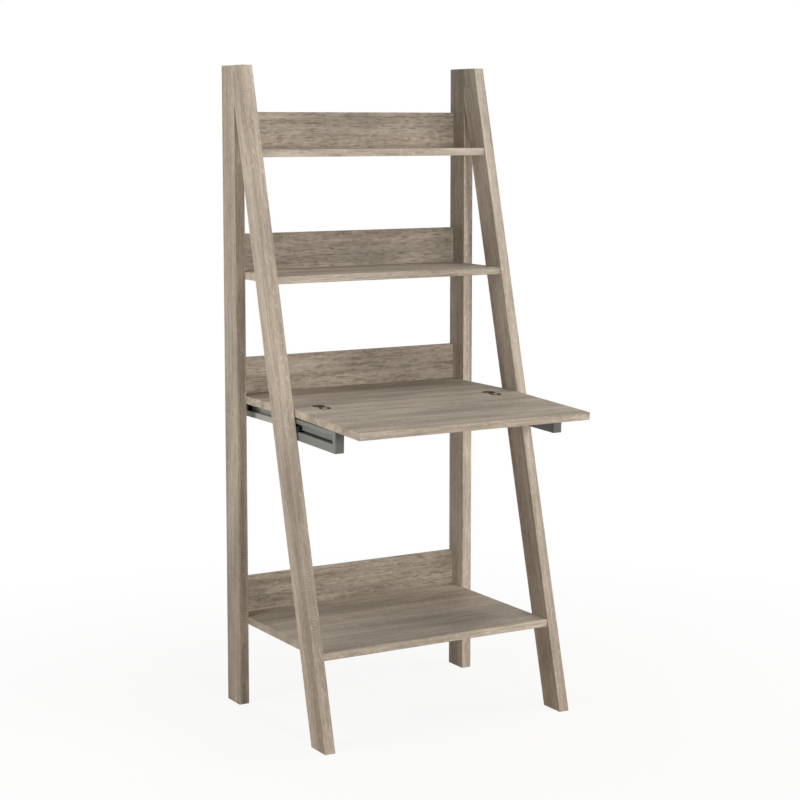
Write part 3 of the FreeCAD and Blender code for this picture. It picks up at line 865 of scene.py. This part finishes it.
class Workpiece:
    """One new mesh that is shaped in edit mode, as by hand."""

    def __init__(self, name: str) -> None:
        """Take up the mesh that was just added, and open it for editing.

        Args:
            name: Name of the piece.
        """
        self.thing = bpy.context.object
        self.thing.name = name
        self.thing.data.name = name
        bpy.ops.object.transform_apply(location=True, rotation=True, scale=True)
        bpy.ops.object.mode_set(mode="EDIT")

    @staticmethod
    def clear() -> None:
        """Leave nothing selected, so that the next step acts on the new mesh alone."""
        bpy.ops.object.select_all(action="DESELECT")

    @classmethod
    def block(cls, name: str, low: Vector, high: Vector) -> "Workpiece":
        """Start from a block between two corners.

        Args:
            name: Name of the piece.
            low: Corner with the least x, y and z.
            high: Corner with the greatest.

        Returns:
            The open workpiece.
        """
        cls.clear()
        bpy.ops.mesh.primitive_cube_add(size=1.0, location=(low + high) / 2)
        bpy.context.object.scale = high - low
        return cls(name)

    @classmethod
    def rod(cls, name: str, start: Vector, end: Vector, radius: float, sides: int) -> "Workpiece":
        """Start from a round rod between two points.

        Args:
            name: Name of the piece.
            start: Middle of one end.
            end: Middle of the other end.
            radius: Radius of the rod.
            sides: Flats round the rod.

        Returns:
            The open workpiece.
        """
        cls.clear()
        way = end - start
        bpy.ops.mesh.primitive_cylinder_add(
            vertices=sides,
            radius=radius,
            depth=way.length,
            location=(start + end) / 2,
            rotation=way.to_track_quat("Z", "Y").to_euler(),
        )
        return cls(name)

    def faces(self, test: FaceTest) -> "Workpiece":
        """Select some of the faces.

        Args:
            test: Test of a face's middle and normal.

        Returns:
            The workpiece.
        """
        bpy.ops.mesh.select_mode(type="FACE")
        mesh = bmesh.from_edit_mesh(self.thing.data)
        for face in mesh.faces:
            face.select_set(test(face.calc_center_median(), face.normal))
        mesh.select_flush_mode()
        bmesh.update_edit_mesh(self.thing.data)
        return self

    def looking(self, way: Vector) -> "Workpiece":
        """Select the faces that look along a direction."""
        return self.faces(lambda _, normal: normal.dot(way) > SQUARE)

    def cut(self, way: Vector, level: float) -> "Workpiece":
        """Draw a cut across the whole mesh.

        Args:
            way: Direction that the cut is square to.
            level: Where it lies along that direction.

        Returns:
            The workpiece.
        """
        bpy.ops.mesh.select_all(action="SELECT")
        bpy.ops.mesh.bisect(plane_co=way * level, plane_no=way)
        return self

    def inset(self, width: float, depth: float = 0.0) -> "Workpiece":
        """Inset the selected faces, and sink or raise them."""
        bpy.ops.mesh.inset(thickness=width, depth=depth)
        return self

    def pull(self, move: Vector) -> "Workpiece":
        """Extrude the selected faces along a move."""
        bpy.ops.mesh.extrude_region_move(TRANSFORM_OT_translate={"value": move})
        return self

    def resize(self, scale: Triple, centre: Vector) -> "Workpiece":
        """Scale what is selected about a point."""
        bpy.ops.transform.resize(value=scale, center_override=centre)
        return self

    def done(self) -> bpy.types.Object:
        """Turn the faces outwards and end the editing.

        Returns:
            The object with the finished mesh.
        """
        bpy.ops.mesh.select_all(action="SELECT")
        bpy.ops.mesh.normals_make_consistent(inside=False)
        bpy.ops.object.mode_set(mode="OBJECT")
        return self.thing


def apply_modifier(thing: bpy.types.Object, kind: str, **settings: object) -> None:
    """Put a modifier on a piece and apply it.

    Args:
        thing: Piece to change.
        kind: Type of the modifier.
        **settings: Properties of the modifier to set.
    """
    Workpiece.clear()
    thing.select_set(True)
    bpy.context.view_layer.objects.active = thing
    modifier = thing.modifiers.new(kind.title(), kind)
    for name, value in settings.items():
        setattr(modifier, name, value)
    bpy.ops.object.modifier_apply(modifier=modifier.name)


def soften(thing: bpy.types.Object, width: float, segments: int) -> None:
    """Round the sharp edges of a piece and shade its rounds smooth.

    Args:
        thing: Piece to round.
        width: Width of the rounding.
        segments: Flats across the rounding.
    """
    apply_modifier(
        thing,
        "BEVEL",
        width=width,
        segments=segments,
        limit_method="ANGLE",
        angle_limit=ROUND_OVER,
        use_clamp_overlap=True,
    )
    thing.select_set(True)
    bpy.ops.object.shade_smooth_by_angle(angle=SMOOTH_UNDER)


def combine(base: bpy.types.Object, tools: Iterable[bpy.types.Object], operation: str) -> None:
    """Add pieces to a base or cut them out of it, and drop them.

    Args:
        base: Piece to change.
        tools: Pieces to add or cut out.
        operation: UNION or DIFFERENCE.
    """
    for tool in tools:
        apply_modifier(base, "BOOLEAN", object=tool, operation=operation, solver="EXACT")
        bpy.data.objects.remove(tool)


def hand_over(
    thing: bpy.types.Object, body: str, nodes: Sequence[str], finish: bpy.types.Material
) -> None:
    """Dress a finished piece and let it ride on its body in the place of its nodes.

    Args:
        thing: Finished piece.
        body: Body that carries it.
        nodes: Nodes that it stands for.
        finish: Material.
    """
    thing.data.materials.clear()
    thing.data.materials.append(finish)
    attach(thing, body)
    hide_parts(*nodes)
    LOG.info("piece %s rides on %s, with %d faces", thing.name, body, len(thing.data.polygons))


def copied(thing: bpy.types.Object, name: str, move: Matrix) -> bpy.types.Object:
    """Copy a piece with its own mesh.

    Args:
        thing: Piece to copy.
        name: Name of the copy.
        move: Move of the copy's mesh.

    Returns:
        The copy.
    """
    twin = thing.copy()
    twin.data = thing.data.copy()
    twin.name = name
    twin.data.name = name
    twin.data.transform(move)
    bpy.context.scene.collection.objects.link(twin)
    return twin


@dataclass
class Finishes:
    """Finishes that several pieces share, each made once, by the slots of the record."""

    made: dict[str, bpy.types.Material] = field(default_factory=dict)

    def __post_init__(self) -> None:
        """Mix them; the oak, the arms' paint and the hinge plates' bronze differ from piece to piece."""
        self.made["grey_arm"] = ARM_GREY.mix("arm_paint")
        self.made["grey_steel"] = RUNNER_GREY.mix("runner_coat")
        self.made["black_nylon"] = BLACK_NYLON.mix("moulded_nylon")
        self.made["hinge_metal"] = PIN_BRONZE.mix("hinge_pin_bronze")
        self.made["zinc_steel"] = ZINC.mix("zinc_plate")
        self.made["taupe_plastic"] = CAP_TAUPE.mix("cover_cap")
        self.made["dowel_wood"] = Beech().mix("dowel_beech")


@dataclass
class Carcass:
    """Legs, shelves, back boards and flap: the boards of the desk, and every fitting left as it is."""

    finishes: Finishes
    shift_step: Triple = (1.37, 0.71, 0.43)
    # Painted light: the left front leg's broad faces are lightened, as if they caught more light.
    tones: dict[str, float] = field(default_factory=lambda: {"front_leg_left": 1.12})

    def lean(self) -> float:
        """Measure the lean of the front legs, on the front edge of one at its foot and its top.

        Returns:
            Their angle from upright, in radians.
        """
        low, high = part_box("front_leg_left")
        points = [vertex.co for vertex in frame["nodes"]["front_leg_left"].data.vertices]
        foot = min(point.y for point in points if point.z < low.z + MM)
        top = min(point.y for point in points if point.z > high.z - MM)
        return math.atan2(top - foot, high.z - low.z)

    def dress(self) -> None:
        """Give every node its finish, with a grain of its own on each board."""
        lean = self.lean()
        oak = SawnOak()
        for number, row in enumerate(frame["record"]["subparts"], start=1):
            name = row["node"]
            if row["material_slot"] == "grey_oak":
                shift = tuple(step * number for step in self.shift_step)
                tone = self.tones.get(name, 1.0)
                finish = oak.mix("oak_" + name, shift, Board.named(name), lean, tone)
            else:
                finish = self.finishes.made[row["material_slot"]]
            mesh = frame["nodes"][name].data
            mesh.materials.clear()
            mesh.materials.append(finish)
            LOG.info("node %s is dressed in %s", name, finish.name)


@dataclass
class SupportArm:
    """Pull-out arm with a stopped slot, and the guide block that runs in it."""

    side: Side
    finishes: Finishes
    length: float = 280.0 * MM
    height: float = 49.5 * MM
    arm_round: float = 1.5 * MM
    slot_front: float = 13.0 * MM
    slot_top: float = 10.5 * MM
    slot_height: float = 18.5 * MM
    slot_depth: float = 8.0 * MM
    slot_gap: float = 0.3 * MM
    groove_height: float = 4.0 * MM
    groove_depth: float = 7.0 * MM
    block_round: float = 0.9 * MM
    round_steps: int = 3
    lead_in: float = 4.0 * MM
    lead_share: float = 0.78

    def build(self) -> None:
        """Model the arm and its guide block."""
        self.build_arm()
        self.build_guide()

    def build_arm(self) -> None:
        """Cut the slot and its groove into the outer face of a level block, round it and let it sag."""
        name = "support_arm_" + self.side.label
        low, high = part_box(name)
        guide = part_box("guide_block_" + self.side.label)
        sag = math.asin((high.z - low.z - self.height) / (self.length - 2 * self.arm_round))
        crest = high.z - (self.length - self.arm_round) * math.sin(sag)
        front = low.y + self.slot_front
        rear = guide[1].y + self.slot_gap
        top = crest - self.slot_top
        foot = top - self.slot_height
        step = foot + self.groove_height
        near = Vector((low.x, low.y, crest - self.height))
        far = Vector((high.x, low.y + self.length, crest))
        piece = Workpiece.block("pull_out_arm_" + self.side.label, near, far)
        for y in (front, rear):
            piece.cut(BACK, y)
        for z in (foot, step, top):
            piece.cut(UP, z)

        def slot_floor(middle: Vector, normal: Vector) -> bool:
            """Test for the outer face inside the slot."""
            outward = normal.x * self.side.value > SQUARE
            return outward and front < middle.y < rear and foot < middle.z < top

        def groove_floor(middle: Vector, normal: Vector) -> bool:
            """Test for the strip along the foot of the slot."""
            return slot_floor(middle, normal) and middle.z < step

        inward = Vector((-self.side.value, 0, 0))
        piece.faces(slot_floor).pull(inward * self.slot_depth)
        piece.faces(groove_floor).pull(inward * self.groove_depth)
        arm = piece.done()
        soften(arm, self.arm_round, self.round_steps)
        edge = Matrix.Translation(Vector((0, low.y, crest)))
        arm.data.transform(edge @ Matrix.Rotation(sag, 4, "X") @ edge.inverted())
        outer = max(abs(low.x), abs(high.x))
        # Its paint holds painted light on the outer face and painted shade on the inner face and in the groove.
        paint = ArmPaint(self.side, outer - self.slot_depth - self.groove_depth / 2)
        finish = paint.mix("arm_paint_" + self.side.label)
        hand_over(arm, "arm_" + self.side.label, [name], finish)

    def build_guide(self) -> None:
        """Taper both ends of a block as a lead-in, and round it."""
        name = "guide_block_" + self.side.label
        low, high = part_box(name)
        piece = Workpiece.block("nylon_guide_" + self.side.label, low, high)
        for y in (low.y + self.lead_in, high.y - self.lead_in):
            piece.cut(BACK, y)
        piece.faces(lambda _, normal: abs(normal.y) > SQUARE)
        piece.resize((1.0, 1.0, self.lead_share), (low + high) / 2)
        guide = piece.done()
        soften(guide, self.block_round, self.round_steps)
        hand_over(guide, "frame", [name], self.finishes.made["black_nylon"])


@dataclass
class FlapHinge:
    """Inset hinge: a round plate in the shelf and one in the flap, knuckles on a pin, and four screws."""

    side: Side
    finishes: Finishes
    droop: float = math.radians(2.4)
    rim: float = 4.0 * MM
    rim_slope: float = 0.7 * MM
    proud: float = 1.3 * MM
    dish: float = 0.7 * MM
    button_radius: float = 3.2 * MM
    button_rise: float = 0.5 * MM
    # The plates' bright middles hold a painted highlight, much brighter on the flap's plate than on the shelf's.
    bright_radius: float = 6.5 * MM
    shine: dict[Panel, float] = field(default_factory=lambda: {Panel.SHELF: 0.15, Panel.FLAP: 1.0})
    flange: float = 2.5 * MM
    boss_radius: float = 11.3 * MM
    knuckle_radius: float = 2.4 * MM
    knuckle_half: float = 8.0 * MM
    knuckle_middle: float = 3.52 * MM
    knuckle_gap: float = 0.15 * MM
    bridge_gap: float = 2.9 * MM
    bridge_share: float = 0.79
    screw_offset: float = 7.5 * MM
    head_radius: float = 3.3 * MM
    head_height: float = 2.0 * MM
    shank_radius: float = 1.75 * MM
    shank_length: float = 13.0 * MM
    drive_length: float = 3.8 * MM
    drive_width: float = 0.9 * MM
    drive_depth: float = 1.1 * MM
    edge_round: float = 0.35 * MM
    screw_round_share: float = 1 / 3
    round_steps: int = 2
    plate_sides: int = 64
    rod_sides: int = 32
    pivot: Vector = field(init=False)
    radius: float = field(init=False)
    x: float = field(init=False)
    reach: float = field(init=False)
    foot: float = field(init=False)
    face: float = field(init=False)

    def __post_init__(self) -> None:
        """Take the pivot and the place of the plates from the frame."""
        joint = next(row for row in frame["joints"] if row["name"] == "flap_fold")
        self.pivot = Vector(joint["pos_m"])
        low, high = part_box("hinge_shelf_plate_" + self.side.label)
        self.radius = (high.x - low.x) / 2
        self.x = (low.x + high.x) / 2
        self.reach = high.y - self.radius - self.pivot.y
        self.foot = low.z
        self.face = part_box("desk_shelf")[1].z

    def build(self) -> None:
        """Model both plates and their screws."""
        for panel in Panel:
            self.build_plate(panel)
        self.build_screws()

    def rest(self, panel: Panel) -> Matrix:
        """Turn a panel's pieces about the pivot, from level to their resting angle.

        Args:
            panel: Panel that holds them.

        Returns:
            The turn, none in the shelf.
        """
        if panel is Panel.SHELF:
            return Matrix.Identity(4)
        to_pivot = Matrix.Translation(self.pivot)
        return to_pivot @ Matrix.Rotation(self.droop, 4, "X") @ to_pivot.inverted()

    def build_plate(self, panel: Panel) -> None:
        """Model one half: a dished round plate on a boss, a bridge and its knuckles.

        Args:
            panel: Panel that holds it.
        """
        toward = panel.value
        centre_y = self.pivot.y + toward * self.reach
        base = Vector((self.x, centre_y, self.face - self.flange))
        crest = base + UP * (self.flange + self.proud)
        piece = Workpiece.rod("hinge_cup", base, crest, self.radius, self.plate_sides)
        piece.looking(UP).inset(self.rim).inset(self.rim_slope, -self.dish)
        floor_radius = self.radius - self.rim - self.rim_slope
        piece.inset(floor_radius - self.button_radius).inset(self.rim_slope, self.button_rise)
        piece.looking(-UP).inset(self.radius - self.boss_radius)
        piece.pull(UP * (self.foot + self.flange - self.face))
        plate = piece.done()

        near = self.pivot.y + toward * self.bridge_gap
        far = centre_y - toward * self.radius * self.bridge_share
        shapes = [self.slab("bridge", -self.knuckle_half, self.knuckle_half, near, far)]
        for start, end in self.spans(panel):
            shapes.append(self.slab("tongue", start, end, self.pivot.y, near + toward * self.rim))
            ends = [Vector((self.x + offset, self.pivot.y, self.pivot.z)) for offset in (start, end)]
            shapes.append(Workpiece.rod("knuckle", *ends, self.knuckle_radius, self.rod_sides).done())
        combine(plate, shapes, "UNION")
        soften(plate, self.edge_round, self.round_steps)
        plate.name = f"hinge_cup_{panel.label}_{self.side.label}"
        plate.data.name = plate.name
        plate.data.transform(self.rest(panel))
        centre = self.rest(panel) @ Vector((self.x, centre_y, self.face))
        finish = RubbedBronze().mix("bronze_" + plate.name, centre, self.bright_radius, self.shine[panel])
        node = f"hinge_{panel.label}_plate_{self.side.label}"
        hand_over(plate, panel.body, [node], finish)

    def spans(self, panel: Panel) -> list[tuple[float, float]]:
        """Share the pin among the knuckles of both halves.

        Args:
            panel: Panel that holds the half.

        Returns:
            Start and end of each of its knuckles, from the hinge's middle.
        """
        if panel is Panel.FLAP:
            half = self.knuckle_middle - self.knuckle_gap
            return [(-half, half)]
        inner = self.knuckle_middle + self.knuckle_gap
        return [(-self.knuckle_half, -inner), (inner, self.knuckle_half)]

    def slab(self, name: str, start: float, end: float, near: float, far: float) -> bpy.types.Object:
        """Flat strip of a plate, level with the panel's face.

        Args:
            name: Name of the strip.
            start: One side, from the hinge's middle.
            end: The other side.
            near: End of the strip by the pivot.
            far: End of the strip in the plate.

        Returns:
            The strip.
        """
        foot = self.pivot.z - self.knuckle_radius
        low = Vector((self.x + start, min(near, far), foot))
        high = Vector((self.x + end, max(near, far), self.face))
        return Workpiece.block(name, low, high).done()

    def build_screws(self) -> None:
        """Model one countersunk screw with a cross recess, and copy it to the four holes."""
        neck = -UP * self.head_height
        piece = Workpiece.rod("hinge_screw", neck, Vector(ORIGIN), self.head_radius, self.rod_sides)
        share = self.shank_radius / self.head_radius
        piece.looking(-UP).resize((share, share, 1.0), neck)
        piece.pull(-UP * self.shank_length)
        screw = piece.done()
        arm = Vector((self.drive_length / 2, self.drive_width / 2, self.drive_depth))
        halves = (arm, Vector((arm.y, arm.x, arm.z)))
        combine(screw, [Workpiece.block("recess", -half, half).done() for half in halves], "DIFFERENCE")
        soften(screw, self.edge_round * self.screw_round_share, self.round_steps)
        level = self.face + self.proud - self.dish
        finish = self.finishes.made["hinge_metal"]
        for panel in Panel:
            for number, offset in enumerate((-self.screw_offset, self.screw_offset), start=1):
                spot = Vector((self.x + offset, self.pivot.y + panel.value * self.reach, level))
                name = f"hinge_screw_{panel.label}_{self.side.label}_{number}"
                twin = copied(screw, name, self.rest(panel) @ Matrix.Translation(spot))
                hand_over(twin, panel.body, [f"hinge_{panel.label}_screws"], finish)
        bpy.data.objects.remove(screw)


@dataclass(frozen=True)
class Lamp:
    """Soft lamp of the studio, with its place, what it faces, its width and height, and its power."""

    name: str
    place: Triple
    aim: Triple
    size: tuple[float, float]
    watts: float

    def hang(self) -> None:
        """Add the lamp to the scene, out of the camera's sight."""
        light = bpy.data.lights.new(self.name, "AREA")
        light.shape = "RECTANGLE"
        light.size, light.size_y = self.size
        light.energy = self.watts
        thing = bpy.data.objects.new(self.name, light)
        thing.location = self.place
        way = Vector(self.aim) - Vector(self.place)
        thing.rotation_euler = way.to_track_quat("-Z", "Y").to_euler()
        thing.visible_camera = False
        bpy.context.scene.collection.objects.link(thing)


@dataclass
class Studio:
    """Plain pale floor that fades to white with distance, soft light and the camera.

    The camera's tilt counts from straight down, its focal length is in pixels of the photograph, and its
    sensor is in millimetres.
    """

    floor_half: float = 40.0
    floor_colour: Colour = (0.86, 0.8, 0.72, 1.0)
    floor_rough: float = 0.9
    floor_fade: Span = Span(0.5, 1.8, 0.9, 1.0)
    ambient: float = 0.065
    ambient_tint: Colour = (1.0, 0.86, 0.7, 1.0)
    lamps: tuple[Lamp, ...] = (
        Lamp("left_lamp", (-1.15, 0.04, 1.1), aim=(-0.33, 0.04, 0.9), size=(0.5, 1.6), watts=8.8),
        Lamp("front_lamp", (-0.34, -4.2, 1.3), aim=(-0.1, 0.0, 0.75), size=(0.4, 0.9), watts=92.0),
        Lamp("key_lamp", (0.8, -0.8, 3.5), aim=(0.0, -0.2, 0.8), size=(0.8, 0.8), watts=26.0),
        Lamp("right_lamp", (1.5, -0.5, 1.1), aim=(0.33, 0.2, 0.9), size=(0.8, 1.2), watts=9.0),
        Lamp("rear_lamp", (0.2, 2.2, 1.0), aim=(0.0, 0.3, 0.8), size=(1.2, 1.2), watts=14.0),
    )
    camera_place: Triple = (-2.3255, -3.9359, 1.4098)
    camera_azimuth: float = math.radians(-30.327)
    camera_tilt: float = math.radians(90 - 6.685)
    camera_shift: float = -0.06
    camera_range: float = 200.0
    focal_pixels: float = 1940.4
    image_pixels: float = 800.0
    sensor: float = 36.0

    def build(self) -> None:
        """Set up the floor, the world, the lamps and the camera."""
        self.build_floor()
        self.build_world()
        for lamp in self.lamps:
            lamp.hang()
        self.add_camera()
        bpy.context.scene.view_settings.view_transform = "Standard"

    def build_floor(self) -> None:
        """Lay a wide floor that fades to white away from the desk and keeps its shadow."""
        Workpiece.clear()
        bpy.ops.mesh.primitive_plane_add(size=2 * self.floor_half)
        floor = bpy.context.object
        floor.name = "floor"
        recipe = Recipe("pale_floor")
        recipe.set("Base Color", self.floor_colour)
        recipe.set("Roughness", self.floor_rough)
        recipe.set("Specular IOR Level", 0.0)
        fade = recipe.span(recipe.distance(recipe.place()), self.floor_fade)
        glow = recipe.compute("MULTIPLY", fade, recipe.seen())
        white = recipe.add("ShaderNodeEmission")
        mixer = recipe.add("ShaderNodeMixShader")
        sources = (glow, recipe.surface.outputs["BSDF"], white.outputs["Emission"])
        for source, target in zip(sources, mixer.inputs):
            recipe.join(source, target)
        recipe.join(mixer.outputs["Shader"], recipe.output.inputs["Surface"])
        floor.data.materials.append(recipe.material)
        floor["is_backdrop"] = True

    def build_world(self) -> None:
        """White behind the desk, and a softer even light on it."""
        world = bpy.data.worlds.new("studio")
        bpy.context.scene.world = world
        world.use_nodes = True
        tree = NodeTree(world.node_tree)
        sky = next(node for node in world.node_tree.nodes if node.type == "BACKGROUND")
        seen = tree.seen()
        tree.join(tree.blend(seen, self.ambient_tint, WHITE), sky.inputs["Color"])
        level = tree.compute("MULTIPLY", seen, 1.0 - self.ambient)
        tree.join(tree.compute("ADD", level, self.ambient), sky.inputs["Strength"])

    def add_camera(self) -> None:
        """Stand the camera where the photograph was taken from."""
        lens = bpy.data.cameras.new("camera")
        lens.sensor_width = self.sensor
        lens.lens = self.focal_pixels / self.image_pixels * self.sensor
        lens.clip_end = self.camera_range
        lens.shift_y = self.camera_shift
        thing = bpy.data.objects.new("camera", lens)
        thing.location = self.camera_place
        thing.rotation_euler = (self.camera_tilt, 0.0, self.camera_azimuth)
        bpy.context.scene.collection.objects.link(thing)
        bpy.context.scene.camera = thing


def write_sizes() -> None:
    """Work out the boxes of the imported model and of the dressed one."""
    pairs = {"cad": CAD_BOX, "visual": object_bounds()}
    boxes = {name: [list(corner) for corner in pair] for name, pair in pairs.items()}


def main() -> None:
    """Dress the boards, model the fittings and set up the studio."""
    logging.basicConfig(level=logging.INFO, format="%(name)s: %(message)s")
    finishes = Finishes()
    Carcass(finishes).dress()
    for side in Side:
        SupportArm(side, finishes).build()
        FlapHinge(side, finishes).build()
    Studio().build()
    write_sizes()


if __name__ == "__main__":
    main()
